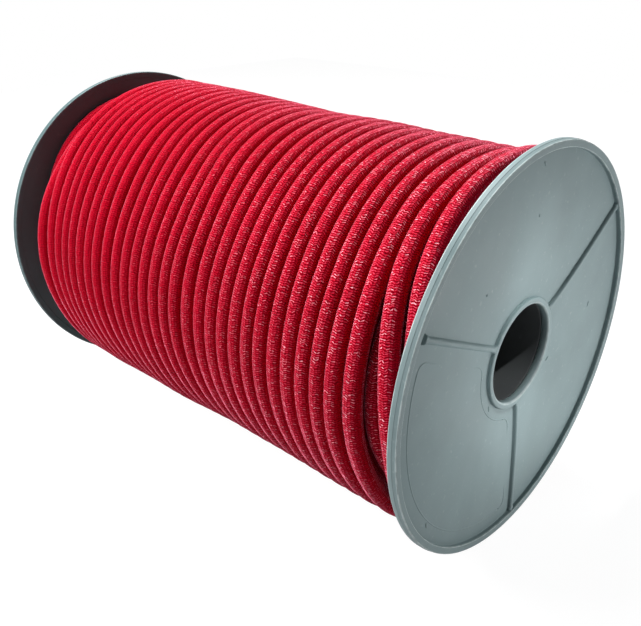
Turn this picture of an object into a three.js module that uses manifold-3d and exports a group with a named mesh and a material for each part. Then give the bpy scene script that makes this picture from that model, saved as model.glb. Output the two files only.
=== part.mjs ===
// A plastic spool wound full with braided elastic cord, lying on the rims of its two flanges.
// Millimetres, +Z up. X runs along the spool's axis, with the near flange at +X.
// The origin lies on the ground under the middle of the spool.
import * as THREE from "three";
import { mergeVertices } from "three/addons/utils/BufferGeometryUtils.js";
import Module from "manifold-3d";

const wasm = await Module();
wasm.setup();

// Spool as a whole
const SPOOL_LENGTH = 282; // over the faces of both rims
const FLANGE_DIAMETER = 185;
const BORE_DIAMETER = 45.5;
const TUBE_WALL = 3.5;

// Flange rim
const RIM_WIDTH = 4.2;
const LIP_WIDTH = 3.4; // the flat ring round the flange's face
const LIP_HEIGHT = 1.8; // above the web beside it
const EDGE_CHAMFER = 0.4;
const FRONT_BEAD_WIDTH = 1.2;
const GROOVE_WIDTH = 0.8; // between the two beads of the rim
const GROOVE_DEPTH = 0.6;

// Flange web and hub
const WEB_THICKNESS = 2;
const HUB_RECESS = 3; // the hub ring's face, behind the rim's face
const HUB_RING_WIDTH = 3;
const HUB_RING_HEIGHT = 1.5; // above the web beside it
const COLLAR_WALL = 2.5; // the socket round the core tube's end
const COLLAR_DEPTH = 12;

// Flange ribs
const RIB_COUNT = 3;
const RIB_WIDTH = 2.6;
const RIB_HEIGHT = 1.1;
const RIB_FLARE_WIDTH = 5;
const RIB_FLARE_LENGTH = 2;
const RIB_END_GAP = 3; // between a rib and the lip
const FIRST_RIB_ANGLE = THREE.MathUtils.degToRad(25.5); // above the horizontal, on the -Y side

// Cord and winding
const CORD_DIAMETER = 8;
const RUBBER_CORE_DIAMETER = 5.6;
const RUBBER_CORE_SHOWS = 1.2; // how far the rubber stands out of the cut sheath
const NEAR_FREEBOARD = 6.6; // the near rim, above the outer layer
const FAR_FREEBOARD = 3;
const FAR_BARE_WIDTH = 17; // the outer layer stops this far from the far flange
const OUTER_LOOPS = 22; // whole loops of the outer layer

// Angles about the spool's axis, from +Y towards +Z. The cord winds the other way.
const CLIMB_END_ANGLE = THREE.MathUtils.degToRad(120);
const TAIL_ANGLE = THREE.MathUtils.degToRad(15);
const CLIMB_TURN = THREE.MathUtils.degToRad(60); // the climb from the layer below
const LOWER_TURN = THREE.MathUtils.degToRad(330); // the loop of that layer and the climb

// Clearances
const SEAT_GAP = 0.3;
const TURN_GAP = 0.6;

// Counts of facets
const ROUND_SEGMENTS = 60;
const LOOP_STEPS = 24;
const CORD_SIDES = 6;
const CORD_TOP_SHARE = Math.sin(Math.PI / 3); // the section's flat top, of its corners' circle
const CORE_SIDES = 12;

// Radii
const RIM_RADIUS = FLANGE_DIAMETER / 2;
const LIP_INNER_RADIUS = RIM_RADIUS - LIP_WIDTH;
const BORE_RADIUS = BORE_DIAMETER / 2;
const HUB_RING_RADIUS = BORE_RADIUS + HUB_RING_WIDTH;
const TUBE_RADIUS = BORE_RADIUS + TUBE_WALL;
const SOCKET_RADIUS = TUBE_RADIUS + SEAT_GAP;
const COLLAR_RADIUS = SOCKET_RADIUS + COLLAR_WALL;

// Places along the axis, from the middle of the spool
const FACE = SPOOL_LENGTH / 2;
const LIP_FOOT = FACE - LIP_HEIGHT;
const RIM_BACK = FACE - RIM_WIDTH;
const HUB_FACE = FACE - HUB_RECESS;
const HUB_RING_FOOT = HUB_FACE - HUB_RING_HEIGHT;
const HUB_BACK = HUB_RING_FOOT - WEB_THICKNESS;
const COLLAR_END = HUB_BACK - COLLAR_DEPTH;

// The lowest facet of each rim lies flat on the ground
const AXIS_HEIGHT = RIM_RADIUS * Math.cos(Math.PI / ROUND_SEGMENTS);

// The web is a shallow cone, from the hub ring's foot out to the lip's foot
const WEB_SLOPE = (LIP_FOOT - HUB_RING_FOOT) / (LIP_INNER_RADIUS - HUB_RING_RADIUS);

function webFace(radius) {
  return LIP_FOOT - (LIP_INNER_RADIUS - radius) * WEB_SLOPE;
}

function webBack(radius) {
  return Math.min(webFace(radius), LIP_FOOT) - WEB_THICKNESS;
}

function points(pairs) {
  return pairs.map(([radius, place]) => new THREE.Vector2(radius, place));
}

// Turns a closed outline of [radius, place] pairs about the Y axis
function revolve(pairs) {
  const closed = [...pairs, pairs[0]];
  return new THREE.LatheGeometry(points(closed), ROUND_SEGMENTS, Math.PI / ROUND_SEGMENTS);
}

function toSolid(geometry) {
  const bare = geometry.clone();
  bare.deleteAttribute("normal");
  bare.deleteAttribute("uv");
  const merged = mergeVertices(bare);
  const mesh = new wasm.Mesh({
    numProp: 3,
    vertProperties: new Float32Array(merged.getAttribute("position").array),
    triVerts: new Uint32Array(merged.getIndex().array),
  });
  return new wasm.Manifold(mesh);
}

function toGeometry(solid) {
  const mesh = solid.getMesh();
  const geometry = new THREE.BufferGeometry();
  geometry.setAttribute("position", new THREE.BufferAttribute(mesh.vertProperties, 3));
  geometry.setIndex(new THREE.BufferAttribute(mesh.triVerts, 1));
  geometry.computeVertexNormals();
  return geometry;
}

function flangeBody() {
  const grooveFront = FACE - FRONT_BEAD_WIDTH;
  const grooveBack = grooveFront - GROOVE_WIDTH;
  return revolve([
    [BORE_RADIUS, HUB_BACK],
    [SOCKET_RADIUS, HUB_BACK],
    [SOCKET_RADIUS, COLLAR_END],
    [COLLAR_RADIUS, COLLAR_END],
    [COLLAR_RADIUS, webBack(COLLAR_RADIUS)],
    [LIP_INNER_RADIUS, webBack(LIP_INNER_RADIUS)],
    [LIP_INNER_RADIUS, RIM_BACK],
    [RIM_RADIUS, RIM_BACK],
    [RIM_RADIUS, grooveBack],
    [RIM_RADIUS - GROOVE_DEPTH, grooveBack],
    [RIM_RADIUS - GROOVE_DEPTH, grooveFront],
    [RIM_RADIUS, grooveFront],
    [RIM_RADIUS, FACE - EDGE_CHAMFER],
    [RIM_RADIUS - EDGE_CHAMFER, FACE],
    [LIP_INNER_RADIUS, FACE],
    [LIP_INNER_RADIUS, LIP_FOOT],
    [HUB_RING_RADIUS, HUB_RING_FOOT],
    [HUB_RING_RADIUS, HUB_FACE],
    [BORE_RADIUS, HUB_FACE],
  ]);
}

// One radial rib with a flare at each end, rooted in the middle of the web and of the hub ring
function ribGeometry(angle) {
  const start = BORE_RADIUS + HUB_RING_WIDTH / 2;
  const hubFlareEnd = HUB_RING_RADIUS + RIB_FLARE_LENGTH;
  const end = LIP_INNER_RADIUS - RIB_END_GAP;
  const halfWidth = RIB_WIDTH / 2;
  const halfFlare = RIB_FLARE_WIDTH / 2;
  const outline = new THREE.Shape(
    points([
      [start, -halfFlare],
      [HUB_RING_RADIUS, -halfFlare],
      [hubFlareEnd, -halfWidth],
      [end - RIB_FLARE_LENGTH, -halfWidth],
      [end, -halfFlare],
      [end, halfFlare],
      [end - RIB_FLARE_LENGTH, halfWidth],
      [hubFlareEnd, halfWidth],
      [HUB_RING_RADIUS, halfFlare],
      [start, halfFlare],
    ]),
  );
  const root = WEB_THICKNESS / 2;
  const rib = new THREE.ExtrudeGeometry(outline, { depth: root + RIB_HEIGHT, bevelEnabled: false });
  rib.rotateX(-Math.PI / 2);
  rib.applyMatrix4(new THREE.Matrix4().makeShear(WEB_SLOPE, 0, 0, 0, 0, 0));
  rib.translate(0, webFace(0) - root, 0);
  rib.rotateY(angle);
  return rib;
}

function flangeGeometry() {
  let solid = toSolid(flangeBody());
  for (let i = 0; i < RIB_COUNT; i += 1) {
    const angle = (i * 2 * Math.PI) / RIB_COUNT - FIRST_RIB_ANGLE;
    solid = solid.add(toSolid(ribGeometry(angle)));
  }
  return toGeometry(solid);
}

function tubeGeometry() {
  const end = HUB_BACK - SEAT_GAP;
  return revolve([
    [BORE_RADIUS, -end],
    [TUBE_RADIUS, -end],
    [TUBE_RADIUS, end],
    [BORE_RADIUS, end],
  ]);
}

// The outer layer's outside radius grows evenly from the near flange to the far one
const NEAR_WOUND_RADIUS = RIM_RADIUS - NEAR_FREEBOARD;
const FAR_WOUND_RADIUS = RIM_RADIUS - FAR_FREEBOARD;

function woundRadius(x) {
  return THREE.MathUtils.mapLinear(x, FACE, -FACE, NEAR_WOUND_RADIUS, FAR_WOUND_RADIUS);
}

// A straight step of the wound cord dips this far inside the circle through its ends
const STEP_SAG = FAR_WOUND_RADIUS * (1 - Math.cos(Math.PI / LOOP_STEPS));

// The layers lie on each other a little more than a cord apart
const LAYER_HEIGHT = CORD_DIAMETER + TURN_GAP;

// The wound cord runs from beside the near flange to the bare strip at the far one
const LOWER_FOOT_RADIUS = NEAR_WOUND_RADIUS - LAYER_HEIGHT - CORD_DIAMETER;
const WOUND_NEAR_END = webBack(LOWER_FOOT_RADIUS) - SEAT_GAP;
const WOUND_FAR_END = FAR_BARE_WIDTH - RIM_BACK;
const OUTER_TURN = OUTER_LOOPS * 2 * Math.PI + CLIMB_END_ANGLE - TAIL_ANGLE;
const LOOP_PITCH = (WOUND_NEAR_END - WOUND_FAR_END) / (1 + OUTER_TURN / (2 * Math.PI));
const TURN_WIDTH = LOOP_PITCH - TURN_GAP;

function innerLayersRadius(x) {
  return woundRadius(x) - CORD_DIAMETER - STEP_SAG - SEAT_GAP;
}

// The layers under the wound cord, as one plain body that fills the room between the flanges.
// A strip beside the near flange is one layer lower, for the loop that shows there.
function innerLayersGeometry() {
  const inner = TUBE_RADIUS + SEAT_GAP;
  const collar = COLLAR_RADIUS + SEAT_GAP;
  const collarEnd = COLLAR_END - SEAT_GAP;
  const hubEnd = webBack(collar) - SEAT_GAP;
  const stripStart = WOUND_NEAR_END - LOOP_PITCH;
  const stepRadius = innerLayersRadius(stripStart);
  const stripRadius = innerLayersRadius(WOUND_NEAR_END) - LAYER_HEIGHT;
  const farRadius = innerLayersRadius(-FACE);
  return revolve([
    [inner, -collarEnd],
    [collar, -collarEnd],
    [collar, -hubEnd],
    [farRadius, SEAT_GAP - webBack(farRadius)],
    [stepRadius, stripStart],
    [stripRadius, stripStart],
    [stripRadius, webBack(stripRadius) - SEAT_GAP],
    [collar, hubEnd],
    [collar, collarEnd],
    [inner, collarEnd],
  ]);
}

// A place on the wound cord's middle line, where turn is 0 at the end of the climb
function woundPlace(turn) {
  const loopsOut = Math.max(turn, 0) / (2 * Math.PI);
  const x = WOUND_NEAR_END - LOOP_PITCH / 2 - loopsOut * LOOP_PITCH;
  const climbed = THREE.MathUtils.smoothstep(turn, -CLIMB_TURN, 0);
  const radius = woundRadius(x) - CORD_DIAMETER / 2 - (1 - climbed) * LAYER_HEIGHT;
  const angle = CLIMB_END_ANGLE - turn;
  return new THREE.Vector3(x, radius * Math.cos(angle), radius * Math.sin(angle));
}

// The same place with its own directions along, out and across
function woundFrame(turn) {
  const ahead = Math.PI / LOOP_STEPS;
  const middle = woundPlace(turn);
  const along = woundPlace(turn + ahead).sub(woundPlace(turn - ahead)).normalize();
  const out = middle.clone().setX(0);
  out.addScaledVector(along, -out.dot(along)).normalize();
  return { middle, along, out, across: new THREE.Vector3().crossVectors(out, along) };
}

// One ring of the wound cord, as wide as a loop's room and as high as the cord
function cordRing(frame, shift) {
  const ring = [];
  const middle = frame.middle.clone().addScaledVector(frame.along, shift);
  for (let side = 0; side < CORD_SIDES; side += 1) {
    const turn = (side * 2 * Math.PI) / CORD_SIDES;
    const width = (Math.cos(turn) * TURN_WIDTH) / 2;
    const height = (Math.sin(turn) * CORD_DIAMETER) / 2 / CORD_TOP_SHARE;
    const place = middle.clone();
    place.addScaledVector(frame.across, width);
    place.addScaledVector(frame.out, height);
    ring.push(place);
  }
  return ring;
}

// The rings of the whole wound cord, with a straight run of one cord diameter at both ends
function woundRings() {
  const steps = Math.round(((LOWER_TURN + OUTER_TURN) / (2 * Math.PI)) * LOOP_STEPS);
  const rings = [cordRing(woundFrame(-LOWER_TURN), -CORD_DIAMETER)];
  for (let step = 0; step <= steps; step += 1) {
    const turn = THREE.MathUtils.lerp(-LOWER_TURN, OUTER_TURN, step / steps);
    rings.push(cordRing(woundFrame(turn), 0));
  }
  rings.push(cordRing(woundFrame(OUTER_TURN), CORD_DIAMETER));
  return rings;
}

// The least gap from one loop to the next, measured between the corners of their rings
function leastGap(rings) {
  let least = Infinity;
  for (let i = 0; i + LOOP_STEPS < rings.length; i += 1) {
    const near = rings.slice(i + LOOP_STEPS - 1, i + LOOP_STEPS + 2).flat();
    for (const corner of rings[i]) {
      for (const other of near) {
        least = Math.min(least, corner.distanceTo(other));
      }
    }
  }
  return least;
}

// Joins rings of corners into one closed tube with flat ends
function tubeThroughRings(rings) {
  const sides = rings[0].length;
  const index = [];
  for (let i = 0; i + 1 < rings.length; i += 1) {
    for (let side = 0; side < sides; side += 1) {
      const next = (side + 1) % sides;
      const a = i * sides + side;
      const b = i * sides + next;
      index.push(a, b, b + sides);
      index.push(a, b + sides, a + sides);
    }
  }
  const end = (rings.length - 1) * sides;
  for (let side = 1; side + 1 < sides; side += 1) {
    index.push(0, side + 1, side);
    index.push(end, end + side, end + side + 1);
  }
  const geometry = new THREE.BufferGeometry().setFromPoints(rings.flat());
  geometry.setIndex(index);
  geometry.computeVertexNormals();
  return geometry;
}

function outerLayerGeometry() {
  const rings = woundRings();
  console.log(`cord_outer_layer: least gap to itself ${leastGap(rings).toFixed(2)} mm`);
  return tubeThroughRings(rings);
}

// The cut end of the elastic core, where it stands out of the sheath at the cord's tail
function rubberCoreGeometry() {
  const radius = RUBBER_CORE_DIAMETER / 2;
  return new THREE.CylinderGeometry(radius, radius, RUBBER_CORE_SHOWS, CORE_SIDES);
}

function placeRubberCore(mesh) {
  const tail = woundFrame(OUTER_TURN);
  const reach = CORD_DIAMETER + SEAT_GAP + RUBBER_CORE_SHOWS / 2;
  mesh.position.copy(tail.middle).addScaledVector(tail.along, reach);
  mesh.quaternion.setFromUnitVectors(new THREE.Vector3(0, 1, 0), tail.along);
  return mesh;
}

function spoolPlastic() {
  return new THREE.MeshStandardMaterial({ color: 0x8b979a, roughness: 0.5, metalness: 0 });
}

function redSheath() {
  return new THREE.MeshStandardMaterial({ color: 0xb5062c, roughness: 0.8, metalness: 0 });
}

function paleRubber() {
  return new THREE.MeshStandardMaterial({ color: 0xd8cdb8, roughness: 0.6, metalness: 0 });
}

function piece(name, geometry, material) {
  const mesh = new THREE.Mesh(geometry, material);
  mesh.name = name;
  return mesh;
}

function buildSpool() {
  const spool = new THREE.Group();
  spool.position.z = AXIS_HEIGHT;

  const nearFlange = piece("near_flange", flangeGeometry(), spoolPlastic());
  nearFlange.rotation.z = -Math.PI / 2;
  const farFlange = piece("far_flange", flangeGeometry(), spoolPlastic());
  farFlange.rotation.z = Math.PI / 2;
  const tube = piece("core_tube", tubeGeometry(), spoolPlastic());
  tube.rotation.z = -Math.PI / 2;

  const innerLayers = piece("cord_inner_layers", innerLayersGeometry(), redSheath());
  innerLayers.rotation.z = -Math.PI / 2;
  const outerLayer = piece("cord_outer_layer", outerLayerGeometry(), redSheath());
  const rubberCore = placeRubberCore(piece("rubber_core_end", rubberCoreGeometry(), paleRubber()));

  spool.add(nearFlange, farFlange, tube, innerLayers, outerLayer, rubberCore);
  return spool;
}

const part = new THREE.Group();
part.add(buildSpool());

export default part;
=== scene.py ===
"""A grey moulded spool on its side, wound full with crimson braided shock cord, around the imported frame.

Metres, +Z up. X runs along the spool's axis to the near flange, and angles about the axis go from +Y to +Z.
"""
import math

import bpy
import numpy as np
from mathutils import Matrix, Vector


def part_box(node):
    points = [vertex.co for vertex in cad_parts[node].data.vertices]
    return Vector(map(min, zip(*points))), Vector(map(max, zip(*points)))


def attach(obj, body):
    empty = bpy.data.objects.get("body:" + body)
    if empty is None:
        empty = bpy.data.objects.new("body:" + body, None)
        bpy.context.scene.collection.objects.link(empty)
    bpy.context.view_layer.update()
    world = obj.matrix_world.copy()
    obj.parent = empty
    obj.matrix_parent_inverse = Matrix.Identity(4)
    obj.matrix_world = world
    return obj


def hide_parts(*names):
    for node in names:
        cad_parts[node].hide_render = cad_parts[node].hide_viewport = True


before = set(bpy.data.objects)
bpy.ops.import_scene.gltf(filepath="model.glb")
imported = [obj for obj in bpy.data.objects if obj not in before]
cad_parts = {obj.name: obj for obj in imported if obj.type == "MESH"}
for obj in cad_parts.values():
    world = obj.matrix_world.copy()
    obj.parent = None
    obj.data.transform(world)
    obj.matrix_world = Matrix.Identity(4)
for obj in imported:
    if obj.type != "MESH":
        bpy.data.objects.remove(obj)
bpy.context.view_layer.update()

MM = 0.001
FULL_TURN = 2 * math.pi

# The spool, measured on the frame
NEAR_LOW, NEAR_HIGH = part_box("near_flange")
RIM_RADIUS = (NEAR_HIGH.y - NEAR_LOW.y) / 2
AXIS_HEIGHT = (NEAR_HIGH.z + NEAR_LOW.z) / 2
FACE = NEAR_HIGH.x
COLLAR_END = NEAR_LOW.x
TUBE_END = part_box("core_tube")[1].x
RUBBER_LOW, RUBBER_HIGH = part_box("rubber_core_end")

# The flange moulding
BORE_RADIUS = 22.75 * MM
TUBE_RADIUS = 26.2 * MM
SOCKET_RADIUS = 26.55 * MM
COLLAR_RADIUS = 29.05 * MM
HUB_RING_RADIUS = 25.75 * MM
LIP_INNER_RADIUS = RIM_RADIUS - 3.4 * MM
LIP_FOOT = FACE - 2.6 * MM
LIP_FACE_FALL = 0.4 * MM
LIP_THICKNESS = 1.3 * MM
RIM_BACK = FACE - 4.2 * MM
RIM_TAPER = FACE - 2 * MM
RIM_STEP = 0.12 * MM
RIM_FALL = 0.45 * MM
HUB_FACE = FACE - 3 * MM
HUB_RING_FOOT = HUB_FACE - 1.5 * MM
WEB_THICKNESS = 2 * MM
HUB_BACK = HUB_RING_FOOT - WEB_THICKNESS
# The web is dished more steeply near the hub
WEB_REACH = 22 * MM
WEB_INNER_FILLET = 0.2 * MM
WEB_OUTER_FILLET = 0.3 * MM
# The web's rings: beyond the ribs' ends, along the ribs, and by the hub
WEB_RINGS = (40, 56, 16)
HUB_RING_BAND = 4 * MM
RIB_END_BAND = 3 * MM
# How near the web a ring lies, along the radius and along the axis, for the ribs to raise it
RING_SLACK = 0.1 * MM
FACE_SLACK = 0.5 * MM
# A fillet's steps, and the straight bit kept at each end of it
CORNER_STEPS = 6
CORNER_HOLD = 0.05 * MM
TUBE_EDGE = 0.5 * MM
TUBE_COLUMNS = 144

# The flange's ribs: two run into the lip, and one stops short of it
RIB_ANGLES = [math.radians(degrees) for degrees in (34.5, 154.5, 274.5)]
RIB_ENDS = (LIP_INNER_RADIUS + MM, LIP_INNER_RADIUS - 4 * MM, LIP_INNER_RADIUS + MM)
RIB_HALF_WIDTH = 1.3 * MM
RIB_HALF_FLARE = 1.9 * MM
RIB_FLARE_LENGTH = 2 * MM
RIB_FLARE_RISE = 0.6
RIB_HEIGHT = 1.5 * MM
RIB_EDGE = 0.15 * MM
RIB_BEVEL = 0.6 * MM
RIB_BEVEL_SHARE = 0.3
RIB_STRIP = 3.6 * MM
RIB_COLUMNS = 48
SECTOR_COLUMNS = 84

# The raised line round one sector of the web
BEAD_INNER = 31 * MM
BEAD_OUTER = 82.3 * MM
BEAD_MARGINS = (8.3 * MM, 6.5 * MM)
BEAD_CORNER = 5 * MM
BEAD_CORNER_STEPS = 8
BEAD_ARC_STEPS = 60
BEAD_RADIUS = 0.4 * MM
BEAD_SINK = 0.22 * MM
BEAD_SIDES = 8

# The moulding marks: radius in mm, degrees about the axis, length in mm, lean in degrees
MARKS = (
    (84, 92, 3.0, 40), (84, 219, 3.2, 60), (53, 132, 1.4, 0), (63, 91.5, 1.4, 20), (62, 3, 3.0, 70),
    (31, 334, 3.0, 65), (27.6, 92, 3.4, 80), (28.5, 220, 3.4, 60),
)
MARK_HALF_WIDTH = 0.55 * MM
MARK_HEIGHT = 0.3 * MM
MARK_COLUMNS = 14
MARK_RINGS = 5
# Marks up to this radius lie at the level of the hub ring's foot
HUB_MARK_RADIUS = HUB_RING_RADIUS + 2.5 * MM

# The winding
CORD_DIAMETER = 8 * MM
CORD_RADIUS = CORD_DIAMETER / 2
# How far the rim stands above the cord on top and underneath: place along the axis and height, in mm
TOP_FREEBOARD = (
    (-141, 1.7), (-90, 2.1), (-55, 2.8), (-25, 4.0), (0, 5.1), (30, 5.8), (60, 6.2), (100, 6.6), (141, 6.9),
)
LOW_FREEBOARD = (
    (-141, 1.6), (-40, 2.9), (-20, 3.0), (0, 3.8), (15, 4.6), (45, 4.9), (110, 4.5), (141, 5.4),
)
LAYER_DEPTH = 8.3 * MM
# The winding starts underneath, and its cut end lies at 15 degrees about the axis, 30 turns on
START_ANGLE = math.radians(270)
TAIL_TURN = 30 + (270 - 15) / 360
OUTER_STEPS = 120
OUTER_SIDES = 20
INNER_STEPS = 64
INNER_SIDES = 12
CORE_COLUMNS = 96

# Turns from the bottom of the first climb, and the cord's middle along the axis, in millimetres
NEAR_ROUTE = (
    (-0.92, 127.5), (-0.87, 126.6), (-0.835, 123.8), (-0.815, 121.2), (-0.8, 119.2), (-0.785, 117.8),
    (-0.77, 117.0), (-0.75, 116.6), (-0.72, 116.3), (-0.66, 116.2), (-0.6, 116.5), (-0.5, 118.0),
    (-0.25, 124.5), (-0.1, 129.5), (0.0, 131.9), (0.1, 132.5), (0.2, 132.6), (0.3, 132.5),
    (0.322, 131.8), (0.353, 129.2), (0.383, 127.0), (0.42, 126.0), (0.5, 126.0), (0.75, 128.5),
    (1.0, 132.3), (1.2, 132.6), (1.23, 131.7), (1.26, 129.6), (1.29, 126.6), (1.32, 122.8),
    (1.353, 119.3), (1.39, 117.6), (1.45, 117.8), (1.5, 118.3), (1.75, 120.5), (2.0, 120.0),
    (2.1, 116.6), (2.17, 114.6), (2.2, 113.6), (2.23, 112.7), (2.26, 112.2), (2.29, 111.6),
    (2.32, 110.8), (2.353, 110.0), (2.39, 109.6), (2.5, 110.0), (2.75, 110.8), (3.0, 108.5),
    (3.1, 106.0), (3.17, 103.9), (3.2, 103.1), (3.26, 102.7), (3.32, 102.3), (3.39, 101.5),
    (3.5, 101.3), (3.75, 100.8), (4.0, 99.0), (4.17, 96.2), (4.29, 95.0),
)
# Turns, and the cord's level: 0 in the outer layer, -1 in the layer below
NEAR_LEVELS = (
    (-0.92, -1.0), (0.1, -1.0), (0.2, -1.1), (0.26, -1.05), (0.31, -0.5), (0.345, -0.1), (0.38, 0.0),
    (1.0, 0.0), (30.2, 0.0), (30.31, 0.0), (30.35, -0.3), (30.38, -0.5), (30.5, -0.55), (30.6, -0.2),
    (30.7, 0.0),
)
# The widths of the turns that follow, one after the other, as shares of the mean turn
TURN_WIDTH_SHARES = (
    0.95, 1.0, 0.95, 1.05, 0.9, 1.0, 0.95, 1.0, 1.0, 1.1, 1.2, 0.9, 1.0,
    0.95, 0.95, 0.95, 0.95, 1.05, 1.1, 0.95, 1.05, 0.95, 0.85, 0.95, 0.95, 1.1,
)

# How far the turns stray along the axis, in millimetres, by the angle about it, in degrees
STRAY_BY_ANGLE = (
    (-60, -0.8), (0, -1.5), (60, -2.5), (98, -2.8), (114, -2.7), (122, -2.2), (130, -1.4), (138, -0.7),
    (146, -0.1), (155, 0.1), (165, 0.0), (184, -0.3), (192, -0.1), (199, 0.2), (215, 0.3), (240, -0.3),
    (300, -0.8),
)
# What share of that each place along the axis has, in millimetres from the middle
STRAY_SHARES = (
    (-141, 1.4), (-60, 1.5), (-28, 1.7), (-10, 1.2), (8, 1.3), (22, 1.1), (35, 0.6), (48, 0.8),
    (60, 1.0), (75, 1.2), (88, 1.2), (100, 1.05), (110, 0.95), (125, 0.5), (141, 0.0),
)
# A stray by the place alone
STRAY_BY_PLACE = (
    (-141, 1.9), (-100, 2.1), (-80, 1.0), (-50, -0.1), (-25, 0.1), (0, -0.6), (15, -1.8), (30, -2.0),
    (55, -1.3), (80, -0.3), (108, 0.3), (141, 0.0),
)
# A further stray at the front of the spool's middle: by the angle, and its share by the place
FRONT_STRAY = (
    (-60, 0.0), (112, 0.0), (122, 0.9), (130, 1.8), (138, 2.2), (146, 2.0), (154, 1.3), (162, 0.6),
    (172, 0.2), (184, 0.0), (300, 0.0),
)
FRONT_SHARES = (
    (-141, -0.8), (-105, -0.8), (-94, -0.2), (-83, -0.3), (-72, 0.1), (-50, 0.0), (-39, 0.5),
    (-28, 0.4), (-17, 0.5), (-6, 1.0), (5, 1.2), (16, 0.8), (27, 0.5), (38, 0.3), (49, 0.1),
    (60, 0.0), (81, -0.25), (92, -0.1), (103, 0.0), (141, 0.0),
)
# The angle at which the tables by the angle begin
STRAY_FROM = -60

# The winding's own unevenness: its waves in each span and round the axis, and the turns over which it begins
RIPPLE_SPAN = 0.1
RIPPLE_RATES = (0.5, 2.2)
RIPPLE_TURNS = (1, 4)
SIDE_SETTLES = (1.0, 3.0)
HEIGHT_SETTLES = (0.3, 1.5)

# The cord's section where turns press on each other, as shares of its radius
SECTION_WIDEST = 1.01
SECTION_NARROWEST = 0.84
SECTION_GIVE = 0.7
SECTION_HEIGHTS = (0.95, 1.12)
# Turns further apart than this many layers don't press on each other
LEVELS_APART = 0.5

# The sheath's cut end: how wide each ring is, and how far on
CUT_RINGS = ((0.97, 0.25 * MM), (0.86, 0.4 * MM), (0.74, 0.3 * MM), (0.7, -0.8 * MM))

# The layers below: their places along the axis, and over how many turns they climb and join
INNER_PITCH = 8.3 * MM
INNER_NEAR_X = 114.6 * MM
INNER_FAR_X = CORD_RADIUS + 0.3 * MM - RIM_BACK
INNER_LOWER_NEAR_X = RIM_BACK - CORD_RADIUS - 1.2 * MM
INNER_CLIMB = 0.15
INNER_JOIN = 0.4
CORE_SINK = 3 * LAYER_DEPTH - 0.5 * MM
CORE_END_ROOM = 2.8 * MM
CORE_PLAY = 0.3 * MM

# The rubber strands in the cord's cut end, which stray by millimetres
BUNDLE_RADIUS = 2.75 * MM
RUBBER_RADIUS = 0.4 * MM
RUBBER_SPACING = 2.1 * RUBBER_RADIUS
RUBBER_SIDES = 10
RUBBER_SUNK = 2 * MM
RUBBER_REACH = 1.1 * MM
RUBBER_BEVEL = 0.1 * MM
RUBBER_TIP_SHARE = 0.8
RUBBER_STRAY = 0.06
RUBBER_REACH_STRAY = (-0.3, 0.15)
RUBBER_SEED = 5


def smoothstep(low, high, value):
    share = np.clip((value - low) / (high - low), 0, 1)
    return share * share * (3 - 2 * share)


def through(keys, at):
    """A smooth curve through (place, value) keys, read at the places given."""
    place, value = np.array(keys, float).T
    slope = np.gradient(value, place)
    index = np.clip(np.searchsorted(place, at) - 1, 0, len(place) - 2)
    width = place[index + 1] - place[index]
    t = np.clip((at - place[index]) / width, 0, 1)
    start = (2 * t**3 - 3 * t**2 + 1) * value[index] + (t**3 - 2 * t**2 + t) * width * slope[index]
    end = (3 * t**2 - 2 * t**3) * value[index + 1] + (t**3 - t**2) * width * slope[index + 1]
    return start + end


def unit(vectors):
    return vectors / np.linalg.norm(vectors, axis=-1, keepdims=True)


def web_face(radius):
    rise = 1 - np.exp(-(radius - HUB_RING_RADIUS) / WEB_REACH)
    whole = 1 - math.exp(-(LIP_INNER_RADIUS - HUB_RING_RADIUS) / WEB_REACH)
    return HUB_RING_FOOT + (LIP_FOOT - HUB_RING_FOOT) * rise / whole


def wound_radius(x, angle):
    """The radius out to the wound cord, which stands a little fuller underneath than on top."""
    top = through([(place * MM, height * MM) for place, height in TOP_FREEBOARD], x)
    low = through([(place * MM, height * MM) for place, height in LOW_FREEBOARD], x)
    return RIM_RADIUS - top + (top - low) * (1 - np.sin(angle)) / 2


def ring_faces(rings, sides, closed=False, first=0):
    """The four-sided faces between rings of points that follow one another."""
    faces = []
    for ring in range(rings if closed else rings - 1):
        here, there = first + ring * sides, first + (ring + 1) % rings * sides
        for side in range(sides):
            following = (side + 1) % sides
            faces.append((here + side, there + side, there + following, here + following))
    return faces


def raise_axis(points):
    return points + np.array([0, 0, AXIS_HEIGHT])


def make_object(name, points, faces, smooth=True, uvs=None):
    """A mesh object. Any UVs, one for each corner of each face, are its map called cord."""
    mesh = bpy.data.meshes.new(name)
    mesh.from_pydata([tuple(point) for point in points], [], faces)
    if uvs is not None:
        layer = mesh.uv_layers.new(name="cord")
        layer.data.foreach_set("uv", np.array(uvs, np.float32).ravel())
    mesh.validate()
    mesh.update()
    mesh.polygons.foreach_set("use_smooth", [smooth] * len(mesh.polygons))
    piece = bpy.data.objects.new(name, mesh)
    bpy.context.scene.collection.objects.link(piece)
    return piece


def add_piece(piece, slot, material, *nodes):
    """Puts a finished piece on the spool's one body with its material, and hides what it replaces. The slot
    is not used.
    """
    piece.data.materials.append(material)
    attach(piece, "root")
    if nodes:
        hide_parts(*nodes)


# Materials

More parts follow.
